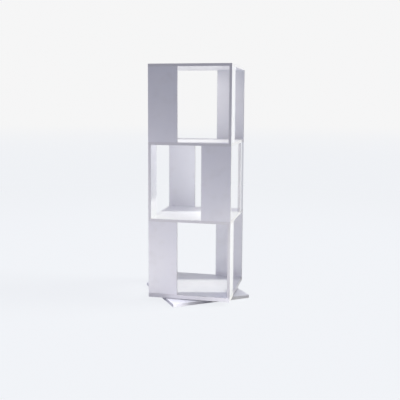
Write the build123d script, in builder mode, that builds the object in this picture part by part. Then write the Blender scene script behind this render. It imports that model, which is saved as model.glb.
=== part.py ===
from build123d import *

import math
import os

# A revolving bookcase: an open tower of three tiers that turns on a flat square base plate.
# Millimetres, +Z up. The origin is on the floor, on the axis that the tower turns about.
# The tower's faces look along X and Y and its front looks along -Y. The base plate stands turned beneath it.

os.makedirs("parts", exist_ok=True)

# ---- Driving dimensions ------------------------------------------------------------------------

# The tower's boards and upright panels
case_side = 370.0  # width and depth of the bottom board, both shelves and the top board
board_t = 12.0  # thickness of the shelves, the top board and the upright panels
bottom_board_t = 18.0  # thicker, because the swivel is let into its underside
tier_clear = 328.0  # height between boards, for a binder 320 tall
face_panel_w = 131.0  # width of the front and back panels
side_panel_w = 92.0  # width of the left and right panels
edge_r = 0.8  # eased edges of boards, panels and base plate

# The base plate and its floor glides
base_side = 370.0
base_t = 14.0
base_turn = 35.0  # degrees that the base plate stands turned from the tower's faces
base_off_axis = 6.0  # how far the base plate's middle lies to -X of the axis
glide_r = 13.0
glide_t = 2.0
glide_proud = 1.0  # how far the glides stand out of the base plate
glide_rim = 0.6  # chamfer round a glide's sole
glide_pin_r = 2.5
glide_pin_length = 8.0
glide_inset = 30.0  # from the base plate's edges to a glide's centre
glide_play = 0.05  # round a glide and its pin in their seats

# The ball-bearing swivel: an outer race on the base plate and an inner race under the tower
ball_pitch_r = 90.0
ball_r = 2.5
ball_count = 24
ball_play = 0.25  # room between a ball and the groove that it runs in
race_w = 12.0  # radial width of either race
race_h = 8.0
race_split = 2.0  # gap between the races' facing walls
race_clear = 1.0  # room between a race and the board that it doesn't touch
race_edge = 0.5  # chamfer on the races' outer corners
swivel_gap = 3.0  # slit that shows between the base plate and the tower
pocket_clear = 2.0  # room round the outer race in the bottom board's pocket
cage_t = 1.2
cage_clear = 0.8  # room above and below the cage
cage_play = 0.2  # room between a ball and its window in the cage
race_screw_count = 6
race_screw_bite = 8.0  # how deep a race screw goes into wood
access_r = 6.0  # hole in the base plate that a screwdriver reaches the inner race through

# Screws, cover caps and dowels
screw_head_r = 3.5
screw_shank_r = 1.75
screw_length = 35.0
screw_point = 4.0  # length of a screw's point
screw_play = 0.05  # round a screw in its hole
screw_inset = 25.0  # from a panel's edge to its screw
slot_length = 4.2  # the cross recess in a screw's head
slot_w = 1.0
slot_depth = 1.0
pit_r = 1.0  # round pit in the middle of the cross recess
pit_depth = 1.8
cap_r = 4.5
cap_t = 1.0
cap_play = 0.1
cap_peg_r = 0.9  # peg under a cap, which plugs into the screw's pit
cap_peg_length = 1.2
dowel_r = 3.0
dowel_cover = 4.0  # wood left between a dowel and the far face of a 12 mm board
dowel_in_panel = 20.0
dowel_play = 0.05
dowel_end_room = 0.5  # room beyond each end of a dowel, for glue
dowel_chamfer = 0.8

# ---- Heights and places that follow from them --------------------------------------------------

half = case_side / 2
base_top = glide_proud + base_t
case_z = base_top + swivel_gap  # underside of the bottom board
tier_names = ["lower", "middle", "upper"]
tier_pitch = tier_clear + board_t
floor_z = [case_z + bottom_board_t + n * tier_pitch for n in range(len(tier_names))]
ceiling_z = [z + tier_clear for z in floor_z]

ball_z = base_top + (race_h + race_clear) / 2
pocket_depth = race_h + race_clear - swivel_gap
pocket_ceiling = case_z + pocket_depth
inner_race_z = pocket_ceiling - race_h
outer_race_mid_r = ball_pitch_r + (race_split + race_w) / 2
inner_race_mid_r = ball_pitch_r - (race_split + race_w) / 2
pocket_r = outer_race_mid_r + race_w / 2 + pocket_clear
race_screw_length = race_h + race_screw_bite

dowel_in_board = board_t - dowel_cover
panel_line = half - board_t / 2  # from the axis to the middle of a panel's thickness

base_frame = Plane(
    origin=(-base_off_axis, 0, 0),
    x_dir=(math.cos(math.radians(base_turn)), math.sin(math.radians(base_turn)), 0),
    z_dir=(0, 0, 1),
)


def write(name, piece):
    """Labels a finished piece and writes its STEP file."""
    piece.part.label = name
    export_step(piece.part, f"parts/{name}.step")


def write_group(name, form, places):
    """Writes like pieces as one node, each of them a solid of its own."""
    with BuildPart() as group:
        with Locations(*places):
            add(form)
    write(name, group)


# ---- Fastener forms, each with its head or middle at the origin --------------------------------


def screw_form(length, play=0.0):
    """A countersunk screw, point down, its head's top face on Z = 0. With play, the hole that takes it."""
    head_r, shank_r = screw_head_r + play, screw_shank_r + play
    with BuildPart() as screw:
        with BuildSketch(Plane.XZ):
            with BuildLine():
                Polyline(
                    (0, 0),
                    (head_r, 0),
                    (shank_r, shank_r - head_r),
                    (shank_r, screw_point - length),
                    (0, -length - play),
                    close=True,
                )
            make_face()
        revolve(axis=Axis.Z)
        if play == 0:
            with BuildSketch():
                Rectangle(slot_length, slot_w)
                Rectangle(slot_w, slot_length)
            extrude(amount=-slot_depth, mode=Mode.SUBTRACT)
            with BuildSketch():
                Circle(pit_r)
            extrude(amount=-pit_depth, mode=Mode.SUBTRACT)
    return screw.part


def dowel_form(room=0.0, end_room=0.0):
    """A dowel along Z that crosses Z = 0 where board meets panel, with the panel above. With room, its hole."""
    with BuildPart() as dowel:
        with BuildSketch(Plane.XY.offset(-dowel_in_board - end_room)):
            Circle(dowel_r + room)
        extrude(amount=dowel_in_board + dowel_in_panel + 2 * end_room)
        if room == 0:
            chamfer(dowel.edges().filter_by(GeomType.CIRCLE), dowel_chamfer)
    return dowel.part


def cap_form():
    """A cover cap, its top face on Z = 0, with the peg that holds it in the screw."""
    with BuildPart() as cap:
        with BuildSketch():
            Circle(cap_r)
        extrude(amount=-cap_t)
        with BuildSketch(Plane.XY.offset(-cap_t)):
            Circle(cap_peg_r)
        extrude(amount=-cap_peg_length)
    return cap.part


def cap_seat_form():
    """The shallow round recess that a cover cap lies flush in."""
    with BuildPart() as seat:
        with BuildSketch():
            Circle(cap_r + cap_play)
        extrude(amount=-cap_t)
    return seat.part


screw = screw_form(screw_length)
screw_hole = screw_form(screw_length, screw_play)
race_screw = screw_form(race_screw_length)
race_screw_hole = screw_form(race_screw_length, screw_play)
dowel = dowel_form()
dowel_hole = dowel_form(dowel_play, dowel_end_room)
cap = cap_form()
cap_seat = cap_seat_form()


# ---- Where the panels and their fastenings stand -----------------------------------------------


def panels_of(tier):
    """The tier's four panels: name, centre, and size along X and Y.

    Seen from each side, a panel stands at one end of that side only, so the four make a pinwheel.
    The middle tier turns the other way from the tiers below and above it.
    """
    hand = 1 if tier % 2 == 0 else -1
    face_at = hand * (half - face_panel_w / 2)
    side_at = hand * (half - side_panel_w / 2)
    name = tier_names[tier]
    return [
        (f"{name}_front_panel", (-face_at, -panel_line), (face_panel_w, board_t)),
        (f"{name}_back_panel", (face_at, panel_line), (face_panel_w, board_t)),
        (f"{name}_right_panel", (panel_line, -side_at), (board_t, side_panel_w)),
        (f"{name}_left_panel", (-panel_line, side_at), (board_t, side_panel_w)),
    ]


def screw_spots(centre, size):
    """Plan positions of the two screws in either end of a panel, along its length in plan."""
    x, y = centre
    reach = max(size) / 2 - screw_inset
    along_x, along_y = (reach, 0) if size[0] > size[1] else (0, reach)
    return [(x - along_x, y - along_y), (x + along_x, y + along_y)]


def down(x, y, z):
    """Place of a fastener that points down from height z."""
    return Location((x, y, z))


def up(x, y, z):
    """Place of a fastener that points up from height z."""
    return Location((x, y, z), (180, 0, 0))


def panel_centres(tier):
    """Plan positions of the dowels in a tier's panels."""
    return [centre for _, centre, _ in panels_of(tier)]


def tier_spots(tier):
    """Plan positions of all the screws in a tier's panels."""
    return [spot for _, centre, size in panels_of(tier) for spot in screw_spots(centre, size)]


def floor_screws(tier, spots):
    """Screws that come up through the board under the tier, flush with its underside."""
    under = case_z if tier == 0 else floor_z[tier] - board_t
    return [up(x, y, under) for x, y in spots]


def ceiling_screws(tier, spots):
    """Screws that go down through the board over the tier, each with room for a cover cap."""
    return [down(x, y, ceiling_z[tier] + board_t - cap_t) for x, y in spots]


def ceiling_caps(tier):
    """Cover caps, flush with the top of the board over the tier."""
    return [down(x, y, ceiling_z[tier] + board_t) for x, y in tier_spots(tier)]


def floor_dowels(tier, centres):
    """Dowels between the tier's panels and the board under them."""
    return [down(x, y, floor_z[tier]) for x, y in centres]


def ceiling_dowels(tier, centres):
    """Dowels between the tier's panels and the board over them."""
    return [up(x, y, ceiling_z[tier]) for x, y in centres]


def screw_circle(radius, place, height):
    """Places of the race screws, evenly round the axis."""
    turns = [2 * math.pi * n / race_screw_count for n in range(race_screw_count)]
    return [place(radius * math.cos(a), radius * math.sin(a), height) for a in turns]


outer_race_places = screw_circle(outer_race_mid_r, down, base_top + race_h)
inner_race_places = screw_circle(inner_race_mid_r, up, inner_race_z)


# ---- Base plate and floor glides ---------------------------------------------------------------

glide_at = base_side / 2 - glide_inset
glide_pad_plane = base_frame.offset(glide_proud)
access_angle = 180 / race_screw_count  # halfway between two race screws

# Medium-density fibreboard, lacquered, with a blind seat for each glide and the screwdriver hole.
with BuildPart() as base_plate:
    with BuildSketch(glide_pad_plane):
        Rectangle(base_side, base_side)
    extrude(amount=base_t)
    fillet(base_plate.edges(), edge_r)
    with BuildSketch(glide_pad_plane):
        with GridLocations(2 * glide_at, 2 * glide_at, 2, 2):
            Circle(glide_r + glide_play)
    extrude(amount=glide_t - glide_proud, mode=Mode.SUBTRACT)
    with BuildSketch(glide_pad_plane):
        with GridLocations(2 * glide_at, 2 * glide_at, 2, 2):
            Circle(glide_pin_r + glide_play)
    extrude(amount=glide_t - glide_proud + glide_pin_length, mode=Mode.SUBTRACT)
    with BuildSketch(Plane.XY.offset(glide_proud)):
        with PolarLocations(inner_race_mid_r, 1, start_angle=access_angle):
            Circle(access_r)
    extrude(amount=base_t, mode=Mode.SUBTRACT)
    with Locations(*outer_race_places):
        add(race_screw_hole, mode=Mode.SUBTRACT)
write("base_plate", base_plate)

# Nylon glides with a pin that is pushed into the base plate.
with BuildPart() as floor_glides:
    with BuildSketch(base_frame):
        with GridLocations(2 * glide_at, 2 * glide_at, 2, 2):
            Circle(glide_r)
    extrude(amount=glide_t)
    chamfer(floor_glides.faces().group_by(Axis.Z)[0].edges(), glide_rim)
    with BuildSketch(base_frame.offset(glide_t)):
        with GridLocations(2 * glide_at, 2 * glide_at, 2, 2):
            Circle(glide_pin_r)
    extrude(amount=glide_pin_length)
write("floor_glides", floor_glides)


# ---- Ball-bearing swivel -----------------------------------------------------------------------


def race(mid_r, low_z, screws):
    """A turned ring with a ball groove in the wall that faces the other race, and its screw holes."""
    with BuildPart() as ring:
        with BuildSketch(Plane.XZ) as section:
            with Locations((mid_r, low_z + race_h / 2)):
                Rectangle(race_w, race_h)
            chamfer(section.vertices(), race_edge)
            with Locations((ball_pitch_r, ball_z)):
                Circle(ball_r + ball_play, mode=Mode.SUBTRACT)
        revolve(axis=Axis.Z)
        with Locations(*screws):
            add(race_screw_hole, mode=Mode.SUBTRACT)
    return ring


outer_race = race(outer_race_mid_r, base_top, outer_race_places)
write("outer_race", outer_race)
inner_race = race(inner_race_mid_r, inner_race_z, inner_race_places)
write("inner_race", inner_race)
write_group("outer_race_screws", race_screw, outer_race_places)
write_group("inner_race_screws", race_screw, inner_race_places)

# Moulded ring that keeps the balls apart.
with BuildPart(Plane.XY.offset(ball_z)) as ball_cage:
    cage_h = race_h + race_clear - 2 * cage_clear
    Cylinder(ball_pitch_r + cage_t / 2, cage_h)
    Cylinder(ball_pitch_r - cage_t / 2, cage_h, mode=Mode.SUBTRACT)
    with PolarLocations(ball_pitch_r, ball_count):
        Cylinder(ball_r + cage_play, 2 * cage_t, rotation=(0, 90, 0), mode=Mode.SUBTRACT)
write("ball_cage", ball_cage)

with BuildPart(Plane.XY.offset(ball_z)) as bearing_balls:
    with PolarLocations(ball_pitch_r, ball_count):
        Sphere(ball_r)
write("bearing_balls", bearing_balls)


# ---- Boards ------------------------------------------------------------------------------------


def board(low_z, thickness, tier_below=None, tier_above=None):
    """A square board with the holes for the panels that stand under it and on it."""
    with BuildPart() as plate:
        with BuildSketch(Plane.XY.offset(low_z)):
            Rectangle(case_side, case_side)
        extrude(amount=thickness)
        fillet(plate.edges(), edge_r)
        if tier_below is not None:
            with Locations(*ceiling_caps(tier_below)):
                add(cap_seat, mode=Mode.SUBTRACT)
            with Locations(*ceiling_screws(tier_below, tier_spots(tier_below))):
                add(screw_hole, mode=Mode.SUBTRACT)
            with Locations(*ceiling_dowels(tier_below, panel_centres(tier_below))):
                add(dowel_hole, mode=Mode.SUBTRACT)
        if tier_above is not None:
            with Locations(*floor_screws(tier_above, tier_spots(tier_above))):
                add(screw_hole, mode=Mode.SUBTRACT)
            with Locations(*floor_dowels(tier_above, panel_centres(tier_above))):
                add(dowel_hole, mode=Mode.SUBTRACT)
    return plate


# The bottom board also has the round pocket that hides the swivel, and the inner race's pilot holes.
bottom_blank = board(case_z, bottom_board_t, tier_above=0)
with BuildPart() as bottom_board:
    add(bottom_blank.part)
    with BuildSketch(Plane.XY.offset(case_z)):
        Circle(pocket_r)
    extrude(amount=pocket_depth, mode=Mode.SUBTRACT)
    with Locations(*inner_race_places):
        add(race_screw_hole, mode=Mode.SUBTRACT)
write("bottom_board", bottom_board)

lower_shelf = board(ceiling_z[0], board_t, tier_below=0, tier_above=1)
write("lower_shelf", lower_shelf)
upper_shelf = board(ceiling_z[1], board_t, tier_below=1, tier_above=2)
write("upper_shelf", upper_shelf)
top_board = board(ceiling_z[2], board_t, tier_below=2)
write("top_board", top_board)

# ---- Upright panels and their fastenings -------------------------------------------------------


def upright(tier, centre, size):
    """A panel that stands between two boards, with a screw hole near each corner and a dowel hole in each end."""
    spots = screw_spots(centre, size)
    with BuildPart() as panel:
        with BuildSketch(Plane.XY.offset(floor_z[tier])):
            with Locations(centre):
                Rectangle(*size)
        extrude(amount=tier_clear)
        fillet(panel.edges().filter_by(Axis.Z), edge_r)
        with Locations(*floor_screws(tier, spots), *ceiling_screws(tier, spots)):
            add(screw_hole, mode=Mode.SUBTRACT)
        with Locations(*floor_dowels(tier, [centre]), *ceiling_dowels(tier, [centre])):
            add(dowel_hole, mode=Mode.SUBTRACT)
    return panel


for tier, tier_name in enumerate(tier_names):
    for panel_name, centre, size in panels_of(tier):
        write(panel_name, upright(tier, centre, size))
    spots, centres = tier_spots(tier), panel_centres(tier)
    write_group(f"{tier_name}_tier_screws", screw, floor_screws(tier, spots) + ceiling_screws(tier, spots))
    write_group(f"{tier_name}_tier_dowels", dowel, floor_dowels(tier, centres) + ceiling_dowels(tier, centres))
    write_group(f"{tier_name}_tier_caps", cap, ceiling_caps(tier))
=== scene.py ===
import math

import bpy
from mathutils import Matrix, Vector

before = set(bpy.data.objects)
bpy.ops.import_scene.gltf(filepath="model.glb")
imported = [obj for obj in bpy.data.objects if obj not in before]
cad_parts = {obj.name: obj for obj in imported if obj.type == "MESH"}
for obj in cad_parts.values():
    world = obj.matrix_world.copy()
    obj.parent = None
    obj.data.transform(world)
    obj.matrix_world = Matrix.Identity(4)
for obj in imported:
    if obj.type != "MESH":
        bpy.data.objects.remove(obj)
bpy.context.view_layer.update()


# ---- Base plate --------------------------------------------------------------------------------
# A square of 14 mm fibreboard with eased edges, sprayed with satin white lacquer on every side.
# It stands turned beneath the tower and carries the swivel's outer race on six screws.


class Wire:
    """One socket of a finish's nodes. A sum written with wires adds the nodes that work it out."""

    def __init__(self, tree, socket=None):
        self.tree = tree
        self.socket = socket

    def node(self, kind, inputs=None, out=0, **settings):
        """Adds a node, sets its settings and then its sockets, and gives a wire from one output."""
        made = self.tree.nodes.new(kind)
        for name, value in settings.items():
            setattr(made, name, value)
        for name, value in (inputs or {}).items():
            if isinstance(value, Wire):
                self.tree.links.new(value.socket, made.inputs[name])
            else:
                made.inputs[name].default_value = value
        return Wire(self.tree, made.outputs[out]) if made.outputs else None

    def maths(self, operation, *terms):
        return self.node("ShaderNodeMath", dict(enumerate(terms)), operation=operation)

    def __add__(self, other):
        return self.maths("ADD", self, other)

    __radd__ = __add__

    def __mul__(self, other):
        return self.maths("MULTIPLY", self, other)

    __rmul__ = __mul__

    def __sub__(self, other):
        return self.maths("SUBTRACT", self, other)

    def __rsub__(self, other):
        return self.maths("SUBTRACT", other, self)

    def __abs__(self):
        return self.maths("ABSOLUTE", self)

    def part(self, axis):
        """The X, Y or Z value of a vector."""
        return self.node("ShaderNodeSeparateXYZ", {0: self}, out=axis)

    def stretched(self, sizes):
        """A vector multiplied axis by axis."""
        return self.node("ShaderNodeVectorMath", {0: self, 1: sizes}, operation="MULTIPLY")

    def rising(self, low, high):
        """0 below low and 1 above high, and smooth between them. With low above high, it falls."""
        sockets = {"Value": self, "From Min": low, "From Max": high}
        return self.node("ShaderNodeMapRange", sockets, interpolation_type="SMOOTHSTEP")

    def noise(self, scale, detail=2.0):
        """Soft noise from 0 to 1, with scale features to the metre."""
        sockets = {"Vector": self, "Scale": scale, "Detail": detail}
        return self.node("ShaderNodeTexNoise", sockets, out="Fac")

    def tinted(self, base, tint):
        """The base colour, turning to the tint where this mask is 1."""
        return self.node("ShaderNodeMix", {0: self, 6: base, 7: tint}, out=2, data_type="RGBA")


def new_finish(name):
    """A finish with no nodes yet, and a wire to start it with."""
    material = bpy.data.materials.new(name)
    material.use_nodes = True
    material.node_tree.nodes.clear()
    return material, Wire(material.node_tree)


def finished(start, colour, roughness, height, **fixed):
    """Joins a colour, a roughness and a height in metres into the shader.

    What is fixed, such as metallic, is the same all over.
    """
    normal = start.node("ShaderNodeBump", {"Height": height, "Distance": 1.0, "Strength": 1.0})
    sockets = {"Base Color": colour, "Roughness": roughness, "Normal": normal}
    for name, value in fixed.items():
        sockets[name.replace("_", " ").title().replace("Ior", "IOR")] = value
    shader = start.node("ShaderNodeBsdfPrincipled", sockets)
    start.node("ShaderNodeOutputMaterial", {"Surface": shader})


def dress(node, material):
    """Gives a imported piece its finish."""
    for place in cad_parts[node].material_slots:
        place.material = material


lacquer_white = (0.880, 0.878, 0.900, 1.0)
lacquer_cool = (0.862, 0.866, 0.896, 1.0)  # where the sprayed film lies a little thicker
thirsty_edge = (0.790, 0.780, 0.788, 1.0)  # fibreboard's edges drink the lacquer
arris_thin_and_shaded = (0.620, 0.600, 0.580, 1.0)  # the film pulls back from a sharp edge, and painted shade darkens every arris further, as the shadow in a seam would
hand_grey = (0.760, 0.752, 0.750, 1.0)
scuff_grey = (0.520, 0.518, 0.530, 1.0)
peel_high = 1.4e-5  # metres, as all heights are
speck_high = 2.2e-5
fibre_high = 2.6e-5


def lacquer(name, thin_axis, turn=0.0, handled=0.0, scuffed=0.0):
    """Satin white lacquer on a board that is thin along one axis, its sides turned by an angle."""
    material, start = new_finish(name)
    place, facing = (
        start.node(
            "ShaderNodeVectorRotate",
            {"Vector": start.node("ShaderNodeTexCoord", out=kind), "Angle": -turn},
            rotation_type="Z_AXIS",
        )
        for kind in ("Object", "Normal")
    )

    # Which surface of the board this is: a broad face, a narrow edge, or the eased arris between them
    thin = "XYZ".index(thin_axis)
    sides = [abs(facing.part(axis)) for axis in "XYZ"]
    edge = sides[thin].rising(0.75, 0.25)
    squarest = start.maths("MAXIMUM", start.maths("MAXIMUM", sides[0], sides[1]), sides[2])
    arris = squarest.rising(0.995, 0.90)
    upward = facing.part("Z").rising(0.7, 0.95)

    # The sprayed film: a broad drift in its thickness, its orange peel, and a few specks of dust
    drift = place.noise(7.0)
    peel = place.noise(240.0, 1.0)
    specks = place.node("ShaderNodeTexVoronoi", {"Vector": place, "Scale": 26.0}, out="Distance")
    speck = specks.rising(0.014, 0.006)
    # Fibres raised along the edges, in the layers that the board was pressed in
    grain = [90.0, 90.0, 90.0]
    grain[thin] = 1100.0
    fibre = place.stretched(grain).noise(1.0, 3.0) * edge
    # What use leaves: dust that settled, hands that turn the tower, and shoes and a vacuum cleaner
    dust = upward * place.noise(34.0, 5.0).rising(0.42, 0.75)
    touch = place.noise(16.0, 4.0).rising(0.50, 0.72) * (handled * 0.30)
    kick = place.stretched((14.0, 14.0, 260.0)).noise(1.0, 4.0).rising(0.66, 0.74) * edge * scuffed

    colour = drift.rising(0.30, 0.70).tinted(lacquer_white, lacquer_cool)
    colour = edge.tinted(colour, thirsty_edge)
    # Arrises darker: partly the thin film, partly painted shade that stands in for the shadow in the
    # seams
    colour = (arris * place.noise(120.0, 3.0).rising(0.20, 0.65) * 0.80).tinted(colour, arris_thin_and_shaded)
    colour = (touch + dust * 0.10).tinted(colour, hand_grey)
    colour = kick.tinted(colour, scuff_grey)
    roughness = 0.36 + drift * 0.06 + edge * 0.10 + fibre * 0.06 + dust * 0.16 - touch * 0.25
    height = peel * peel_high + speck * speck_high + fibre * fibre_high
    finished(start, colour, roughness, height, specular_ior_level=0.42)
    return material


base_turn = math.radians(35.0)
dress("base_plate", lacquer("base_plate_lacquer", "Z", base_turn, scuffed=0.5))


# ---- Floor glides ------------------------------------------------------------------------------
# Four grey nylon discs, moulded with a pin that is pushed into the underside of the base plate.
# Their soles stand 1 mm out of it and are scratched by the floor.

glide_grey = (0.46, 0.46, 0.47, 1.0)
glide_pale = (0.55, 0.55, 0.55, 1.0)
scratch_pale = (0.70, 0.70, 0.69, 1.0)
pit_high, scratch_deep = 1.2e-5, 2.0e-5
material, start = new_finish("glide_nylon")
place = start.node("ShaderNodeTexCoord", out="Object")
sole = place.part("Z").rising(0.0004, 0.0001)
cloud = place.noise(160.0, 3.0)
pits = place.noise(2600.0, 2.0)
scratch = place.stretched((3200.0, 240.0, 1.0)).noise(1.0, 2.0).rising(0.62, 0.70) * sole
colour = cloud.rising(0.3, 0.7).tinted(glide_grey, glide_pale)
colour = (scratch * 0.6).tinted(colour, scratch_pale)
roughness = 0.48 + cloud * 0.10 - sole * 0.12 + scratch * 0.20
finished(start, colour, roughness, pits * pit_high - scratch * scratch_deep)
dress("floor_glides", material)


# ---- Swivel races ------------------------------------------------------------------------------
# Two steel rings, turned on a lathe with a ball groove between them, and zinc plated.
# The outer one is screwed to the base plate, and the inner one to the bottom board.

race_zinc = (0.62, 0.63, 0.65, 1.0)
race_dull = (0.50, 0.51, 0.54, 1.0)
race_bright = (0.74, 0.74, 0.74, 1.0)
ball_circle = 0.090
groove_edge, groove_floor = 0.0024, 0.0014  # off the ball circle, where the groove starts and is full
turned_high = 5.0e-6
material, start = new_finish("race_steel")
place = start.node("ShaderNodeTexCoord", out="Object")
flat = place.stretched((1.0, 1.0, 0.0))
from_axis = flat.node("ShaderNodeVectorMath", {0: flat}, out="Value", operation="LENGTH")
turning = from_axis.node(
    "ShaderNodeTexNoise", {"W": from_axis * 5200.0, "Detail": 3.0}, noise_dimensions="1D",
)
spangle = place.node("ShaderNodeTexVoronoi", {"Vector": place, "Scale": 420.0}, out="Distance")
groove = abs(from_axis - ball_circle).rising(groove_edge, groove_floor)
colour = place.noise(300.0, 3.0).rising(0.35, 0.70).tinted(race_zinc, race_dull)
colour = groove.tinted(colour, race_bright)
roughness = 0.34 + spangle * 0.12 + turning * 0.10 - groove * 0.20
finished(start, colour, roughness, turning * turned_high * (1 - groove), metallic=1.0)
dress("outer_race", material)
dress("inner_race", material)


# ---- Swivel balls and cage ---------------------------------------------------------------------
# Twenty-four polished steel balls roll between the races, kept apart by a thin black nylon ring.
# The ring is moulded and carries a film of grease, which shines in its windows.

ball_steel = (0.78, 0.79, 0.81, 1.0)
ball_grease = (0.60, 0.58, 0.52, 1.0)
hairline_high = 4.0e-7
material, start = new_finish("ball_steel")
place = start.node("ShaderNodeTexCoord", out="Object")
grease = place.noise(420.0, 3.0).rising(0.52, 0.70)
hairline = place.stretched((900.0, 5200.0, 2600.0)).noise(1.0, 2.0)
colour = (grease * 0.5).tinted(ball_steel, ball_grease)
roughness = 0.07 + grease * 0.16 + hairline * 0.05
finished(start, colour, roughness, hairline * hairline_high, metallic=1.0)
dress("bearing_balls", material)

cage_black = (0.030, 0.030, 0.033, 1.0)
cage_worn = (0.075, 0.075, 0.080, 1.0)
moulded_high = 8.0e-6
material, start = new_finish("cage_nylon")
place = start.node("ShaderNodeTexCoord", out="Object")
flow = place.stretched((70.0, 70.0, 420.0)).noise(1.0, 4.0)
film = place.noise(260.0, 2.0).rising(0.50, 0.66)
colour = flow.rising(0.45, 0.75).tinted(cage_black, cage_worn)
roughness = 0.50 - film * 0.28 + flow * 0.08
finished(start, colour, roughness, place.noise(2400.0) * moulded_high)
dress("ball_cage", material)


# ---- Screws ------------------------------------------------------------------------------------
# Countersunk zinc-plated screws with a cross recess. Twelve hold the races, and four go through
# the boards into the ends of every panel, where a driver has rubbed the plating off their heads.

screw_zinc = (0.70, 0.71, 0.73, 1.0)
screw_blue = (0.60, 0.64, 0.72, 1.0)
screw_rubbed = (0.44, 0.43, 0.42, 1.0)
plating_high = 6.0e-6
tiers = ["lower", "middle", "upper"]
material, start = new_finish("screw_zinc")
place = start.node("ShaderNodeTexCoord", out="Object")
plating = place.noise(520.0, 3.0)
rubbed = place.noise(1500.0, 3.0).rising(0.58, 0.70)
colour = plating.rising(0.35, 0.65).tinted(screw_zinc, screw_blue)
colour = (rubbed * 0.7).tinted(colour, screw_rubbed)
roughness = 0.26 + plating * 0.14 + rubbed * 0.18
finished(start, colour, roughness, plating * plating_high, metallic=1.0)
for node in ["outer_race_screws", "inner_race_screws"] + [f"{tier}_tier_screws" for tier in tiers]:
    dress(node, material)


# ---- Boards ------------------------------------------------------------------------------------
# The bottom board, two shelves and the top board: square fibreboard, lacquered like the base plate.
# The bottom board is thicker, because the swivel is let into its underside.

board_lacquer = lacquer("board_lacquer", "Z")
for node in ["bottom_board", "lower_shelf", "upper_shelf", "top_board"]:
    dress(node, board_lacquer)


# ---- Panels ------------------------------------------------------------------------------------
# Twelve lacquered uprights, four to a tier, each at one end of its side, so that they make a
# pinwheel. Hands take hold of them to turn the tower, and leave a faint grey bloom.

face_panel_lacquer = lacquer("face_panel_lacquer", "Y", handled=1.0)
side_panel_lacquer = lacquer("side_panel_lacquer", "X", handled=1.0)
for tier in tiers:
    dress(f"{tier}_front_panel", face_panel_lacquer)
    dress(f"{tier}_back_panel", face_panel_lacquer)
    dress(f"{tier}_right_panel", side_panel_lacquer)
    dress(f"{tier}_left_panel", side_panel_lacquer)


# ---- Dowels ------------------------------------------------------------------------------------
# Plain beech pegs glued into the boards and the panels' ends. Beech is pale and pinkish, with short
# dark flecks along its grain, which runs along the peg.

beech_pale = (0.74, 0.55, 0.36, 1.0)
beech_dark = (0.55, 0.36, 0.21, 1.0)
ring_high, fleck_deep = 3.0e-5, 2.0e-5
material, start = new_finish("dowel_beech")
place = start.node("ShaderNodeTexCoord", out="Object")
rings = place.stretched((900.0, 900.0, 14.0)).noise(1.0, 3.0)
fleck = place.stretched((2600.0, 2600.0, 320.0)).noise(1.0, 2.0).rising(0.60, 0.68)
colour = rings.rising(0.35, 0.70).tinted(beech_pale, beech_dark)
colour = (fleck * 0.6).tinted(colour, beech_dark)
finished(start, colour, 0.62 + rings * 0.12, rings * ring_high - fleck * fleck_deep)
for tier in tiers:
    dress(f"{tier}_tier_dowels", material)


# ---- Cover caps --------------------------------------------------------------------------------
# White plastic discs that hide the screws in the tops of the shelves and of the top board. A peg
# under each one plugs into its screw. They are moulded, so a little warmer and finer in grain.

cap_white = (0.872, 0.868, 0.872, 1.0)
cap_warm = (0.850, 0.840, 0.828, 1.0)
spark_high = 9.0e-6
material, start = new_finish("cap_plastic")
place = start.node("ShaderNodeTexCoord", out="Object")
spark = place.noise(2300.0, 2.0)
ageing = place.noise(12.0, 2.0).rising(0.40, 0.65)
colour = ageing.tinted(cap_white, cap_warm)
finished(start, colour, 0.44 + spark * 0.10, spark * spark_high)
for tier in tiers:
    dress(f"{tier}_tier_caps", material)


# ---- Floor -------------------------------------------------------------------------------------
# A plain pale studio floor. Light and the tower's shadow fall on it, and it runs up to the same
# pale grey as the air behind the tower. Away from the tower it glows as a lamp for the tower, brightest
# behind it and at its sides and dark in front.

floor_reach = 60.0
close_full, close_none = 1.2, 4.0  # metres from the axis, as are the next two pairs
backdrop_starts, backdrop_full = 5.0, 25.0
glow_starts, glow_full = 0.9, 1.8
floor_near = (0.906, 0.924, 0.958, 1.0)  # paler, to make up for the share of it that is lit
floor_pale = (0.866, 0.883, 0.915, 1.0)
backdrop_pale = (0.920, 0.920, 0.922, 1.0)
paper = (0.800, 0.800, 0.830, 1.0)  # what throws light back at the tower
shadow_share = 0.10  # how much of the floor's colour near the tower is lit, and not plain
# The floor's glow, which lights the tower as a lamp would, from each side
floor_glow_sides = {
    "front": (0.00, 0.00, 0.02), "back": (1.30, 1.18, 1.00),
    "left": (1.10, 1.10, 1.10), "right": (1.14, 1.20, 1.46),
}


def glow_of(start, towards, sides):
    """How the studio glows along a direction, from the colours of its sides and of what is above."""
    across, deep, up = (towards.part(axis) for axis in "XYZ")
    parts = {"front": -1.0 * deep, "back": deep, "left": -1.0 * across, "right": across, "above": up}
    glow = None
    for side, colour in sides.items():
        facing = start.maths("MAXIMUM", parts[side], 0.0)
        scaled = {0: colour, "Scale": facing * facing}
        share = start.node("ShaderNodeVectorMath", scaled, operation="SCALE")
        if glow is None:
            glow = share
        else:
            glow = start.node("ShaderNodeVectorMath", {0: glow, 1: share}, operation="ADD")
    return glow


def seen_share(start):
    """1 for what the camera sees, straight, mirrored or through glass, and 0 for what only lights."""
    camera, glossy, through = (
        start.node("ShaderNodeLightPath", out=f"Is {kind} Ray")
        for kind in ("Camera", "Glossy", "Transmission")
    )
    return start.maths("MINIMUM", camera + glossy + through, 1.0)


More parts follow.
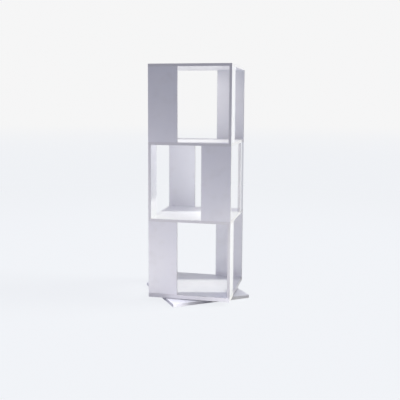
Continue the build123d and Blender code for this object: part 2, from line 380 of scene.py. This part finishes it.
bpy.ops.mesh.primitive_plane_add(size=2 * floor_reach)
floor = bpy.context.object
floor.name = "studio_floor"
material, start = new_finish("floor_paper")
place = start.node("ShaderNodeTexCoord", out="Object")
away = place.node("ShaderNodeVectorMath", {0: place}, out="Value", operation="LENGTH")
close = away.rising(close_none, close_full)
pale = away.rising(backdrop_starts, backdrop_full).tinted(floor_pale, backdrop_pale)
pale = close.tinted(pale, floor_near)
outward = place.node("ShaderNodeVectorMath", {0: place}, operation="NORMALIZE")
glow = glow_of(start, outward, floor_glow_sides)
seen = seen_share(start)
lit = start.node("ShaderNodeBsdfDiffuse", {"Color": seen.tinted(paper, pale)})
plain = start.node("ShaderNodeEmission", {"Color": seen.tinted(glow, pale)})
share = seen * (1 - close * shadow_share) + (1 - seen) * away.rising(glow_starts, glow_full)
shown = start.node("ShaderNodeMixShader", {0: share, 1: lit, 2: plain})
start.node("ShaderNodeOutputMaterial", {"Surface": shown})
floor.data.materials.append(material)


# ---- Studio light ------------------------------------------------------------------------------
# The key comes from the right and a little from behind, so that the front faces stay in soft lilac
# shade. Small cards in front lift them from below, and soft globes lift the tiers.

air_sides = {
    "front": (0.00, 0.00, 0.06), "back": (0.30, 0.32, 0.40),
    "left": (0.66, 0.66, 1.00), "above": (0.42, 0.42, 0.43),
}
world = bpy.data.worlds.new("studio_air")
bpy.context.scene.world = world
world.use_nodes = True
world.node_tree.nodes.clear()
start = Wire(world.node_tree)
towards = start.node("ShaderNodeTexCoord", out="Generated")
glow = glow_of(start, towards, air_sides)
seen = seen_share(start)
shown = start.node("ShaderNodeBackground", {"Color": seen.tinted(glow, backdrop_pale), "Strength": 1.0})
start.node("ShaderNodeOutputWorld", {"Surface": shown})

# The groups of pieces that lamps light and that stop them. The base plate, the bottom board and the
# panel that faces the key have lamps of their own. The flags spare the floor and the topmost pieces.
pieces = list(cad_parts)
topmost = ["top_board", "upper_tier_caps"]
all_but_plate = [piece for piece in pieces if piece != "base_plate"]
raised = [piece for piece in all_but_plate if piece != "bottom_board"]
members = {
    "everything": pieces,
    "topmost": topmost,
    "all_but_plate": all_but_plate,
    "raised": raised,
    "flagged": [piece for piece in raised if piece not in topmost + ["middle_left_panel"]],
    "bottom_blockers": pieces,
    "flag_blockers": pieces,
    "base_plate": ["base_plate"],
    "bottom_board": ["bottom_board"],
    "middle_left_panel": ["middle_left_panel"],
}
groups = {}
for group, names in members.items():
    groups[group] = bpy.data.collections.new(group)
    for name in names:
        groups[group].objects.link(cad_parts[name])
groups["topmost"].objects.link(floor)

# The key is four suns from one side. Each has a strength, a softness in degrees, the group that it
# lights and the group that stops it.
key_from = math.radians(12.5)  # round from +X towards +Y
key_height = math.radians(34.0)
key_tint = (1.00, 1.01, 0.90)
level_to_key = Vector((math.cos(key_from), math.sin(key_from), 0.0))
to_key = level_to_key * math.cos(key_height) + Vector((0.0, 0.0, math.sin(key_height)))
suns = {
    "key_light": (2.14, 3.0, "flagged", "flag_blockers"),
    "middle_key": (1.20, 3.0, "middle_left_panel", "flag_blockers"),
    "bottom_key": (2.50, 1.5, "bottom_board", "bottom_blockers"),
    "open_key": (2.34, 24.0, "topmost", "everything"),
}
for name, (strength, softness, lit, stopping) in suns.items():
    sun_data = bpy.data.lights.new(name, "SUN")
    sun_data.energy = strength
    sun_data.angle = math.radians(softness)
    sun_data.color = key_tint
    sun = bpy.data.objects.new(name, sun_data)
    bpy.context.scene.collection.objects.link(sun)
    sun.rotation_euler = to_key.to_track_quat("Z", "Y").to_euler()
    sun.light_linking.receiver_collection = groups[lit]
    sun.light_linking.blocker_collection = groups[stopping]


def stand_flag(name, foot, across, high, stopping):
    """An upright dark board that only shades, from the foot of one end across to the other."""
    upward = Vector((0.0, 0.0, high))
    corners = [foot, foot + across, foot + across + upward, foot + upward]
    flag_mesh = bpy.data.meshes.new(name)
    flag_mesh.from_pydata(corners, [], [(0, 1, 2, 3)])
    flag = bpy.data.objects.new(name, flag_mesh)
    bpy.context.scene.collection.objects.link(flag)
    for ray in ("camera", "diffuse", "glossy", "transmission", "volume_scatter"):
        setattr(flag, f"visible_{ray}", False)
    for group in stopping:
        groups[group].objects.link(flag)


# The tall flag keeps the key off the boards' back edges, and the low one keeps it off the right end
# of the bottom board alone.
flag_corner = Vector((0.185, 0.118, 0.0))  # where its near edge's shade falls on the right side
flag_side = Vector((-math.sin(key_from), math.cos(key_from), 0.0))
flag_away = 1.0
flag_wide = 1.2
flag_high = 2.4
flag_foot = flag_corner + level_to_key * flag_away
stand_flag("flag", flag_foot, flag_side * flag_wide, flag_high, ["flag_blockers", "bottom_blockers"])
low_flag_foot = Vector((0.55, -0.008, 0.0))
low_flag_across = Vector((0.0, 0.23, 0.0))
low_flag_high = 0.312
stand_flag("low_flag", low_flag_foot, low_flag_across, low_flag_high, ["bottom_blockers"])


def hang(name, kind, group, stand, aim, power, colour, **sizes):
    """A lamp for one group of pieces, unseen itself, at a place and turned towards another."""
    lamp_data = bpy.data.lights.new(name, kind)
    lamp_data.energy = power
    lamp_data.color = colour
    for size, value in sizes.items():
        setattr(lamp_data, size, value)
    lamp = bpy.data.objects.new(name, lamp_data)
    bpy.context.scene.collection.objects.link(lamp)
    lamp.location = stand
    lamp.rotation_euler = (Vector(stand) - Vector(aim)).to_track_quat("Z", "Y").to_euler()
    lamp.visible_camera = False
    lamp.visible_glossy = False
    lamp.light_linking.receiver_collection = groups[group]


# Each card: its group, where it stands, what it faces, its power, its colour, its width and height
cards = {
    "low_card": (
        "raised", (0.05, -0.60, 0.04), (0.0, 0.0, 0.40), 0.80, (1.00, 0.93, 1.22), 1.2, 0.20,
    ),
    "left_card": (
        "raised", (-0.30, -0.45, 0.04), (-0.1, -0.185, 0.5), 0.46, (1.02, 1.00, 0.86), 0.4, 0.15,
    ),
    "right_card": (
        "raised", (0.30, -0.45, 0.20), (0.1, -0.185, 0.4), 0.32, (1.00, 1.00, 0.86), 0.4, 0.15,
    ),
    "upper_card": (
        "raised", (-0.30, -0.50, 0.55), (-0.1, -0.185, 0.7), 0.23, (1.02, 0.98, 1.07), 0.4, 0.15,
    ),
    "ceiling_card": (
        "all_but_plate", (0.0, -0.04, 1.04), (0.0, -0.04, 0.0), 0.32, (1.01, 0.98, 0.95), 0.24, 0.16,
    ),
    "middle_card": (
        "middle_left_panel", (0.70, 0.10, 0.62), (-0.173, -0.14, 0.54), 0.7, (1.00, 1.00, 0.98), 0.3, 0.3,
    ),
}
for name, (group, stand, aim, power, colour, wide, high) in cards.items():
    hang(name, "AREA", group, stand, aim, power, colour, shape="RECTANGLE", size=wide, size_y=high)

# Each spot: its group, where it stands, what it faces, its power, its colour and its beam in degrees
spot_radius = 0.03
spots = {
    "bottom_spot": (
        "bottom_board", (0.30, -0.60, 0.12), (0.20, -0.185, 0.03), 5.0, (1.00, 0.99, 1.05), 150.0,
    ),
    "end_spot": (
        "bottom_board", (0.50, 0.04, 0.30), (0.180, 0.03, 0.03), 1.7, (1.00, 1.00, 1.06), 36.0,
    ),
    "plate_spot": (
        "base_plate", (0.25, -0.60, 0.35), (-0.05, -0.275, 0.015), 13.0, (0.98, 0.98, 1.06), 20.0,
    ),
}
for name, (group, stand, aim, power, colour, beam) in spots.items():
    hang(name, "SPOT", group, stand, aim, power, colour,
         spot_size=math.radians(beam), spot_blend=1.0, shadow_soft_size=spot_radius)

# A broad soft light from straight above, for the base plate
overhead = (0.0, 0.0, 1.0)
centre = (0.0, 0.0, 0.0)
sky_strength = 1.50
sky_tint = (0.98, 0.98, 1.08)
sky_softness = math.radians(100.0)
hang("plate_sky", "SUN", "base_plate", overhead, centre, sky_strength, sky_tint, angle=sky_softness)

# Each globe: where it hangs in the tower and its power
globe_tint = (1.0, 1.0, 0.96)
globe_radius = 0.09
globes = {"lower_globe": ((0.0, 0.0, 0.20), 0.07), "middle_globe": ((0.03, 0.01, 0.52), 0.35)}
for name, (stand, power) in globes.items():
    hang(name, "POINT", "raised", stand, centre, power, globe_tint, shadow_soft_size=globe_radius)


# ---- Camera ------------------------------------------------------------------------------------
# A long lens a little to the right of the front and just under the top board's height.

camera_round = math.radians(12.15)
camera_down = math.radians(6.57)
camera_roll = math.radians(0.32)
camera_away = 2.906
camera_aside = 0.009
camera_height = 0.886
camera_data = bpy.data.cameras.new("camera")
camera_data.sensor_width = 36.0
camera_data.lens = 56.7
camera_data.shift_y = -0.06
camera = bpy.data.objects.new("camera", camera_data)
bpy.context.scene.collection.objects.link(camera)
round_z = Matrix.Rotation(camera_round, 3, "Z")
camera.location = round_z @ Vector((camera_aside, -camera_away, camera_height))
level = math.radians(90.0)
tilt = Matrix.Rotation(level - camera_down, 3, "X")
camera.rotation_euler = (round_z @ tilt @ Matrix.Rotation(camera_roll, 3, "Z")).to_euler()
bpy.context.scene.camera = camera
bpy.context.scene.view_settings.view_transform = "Standard"
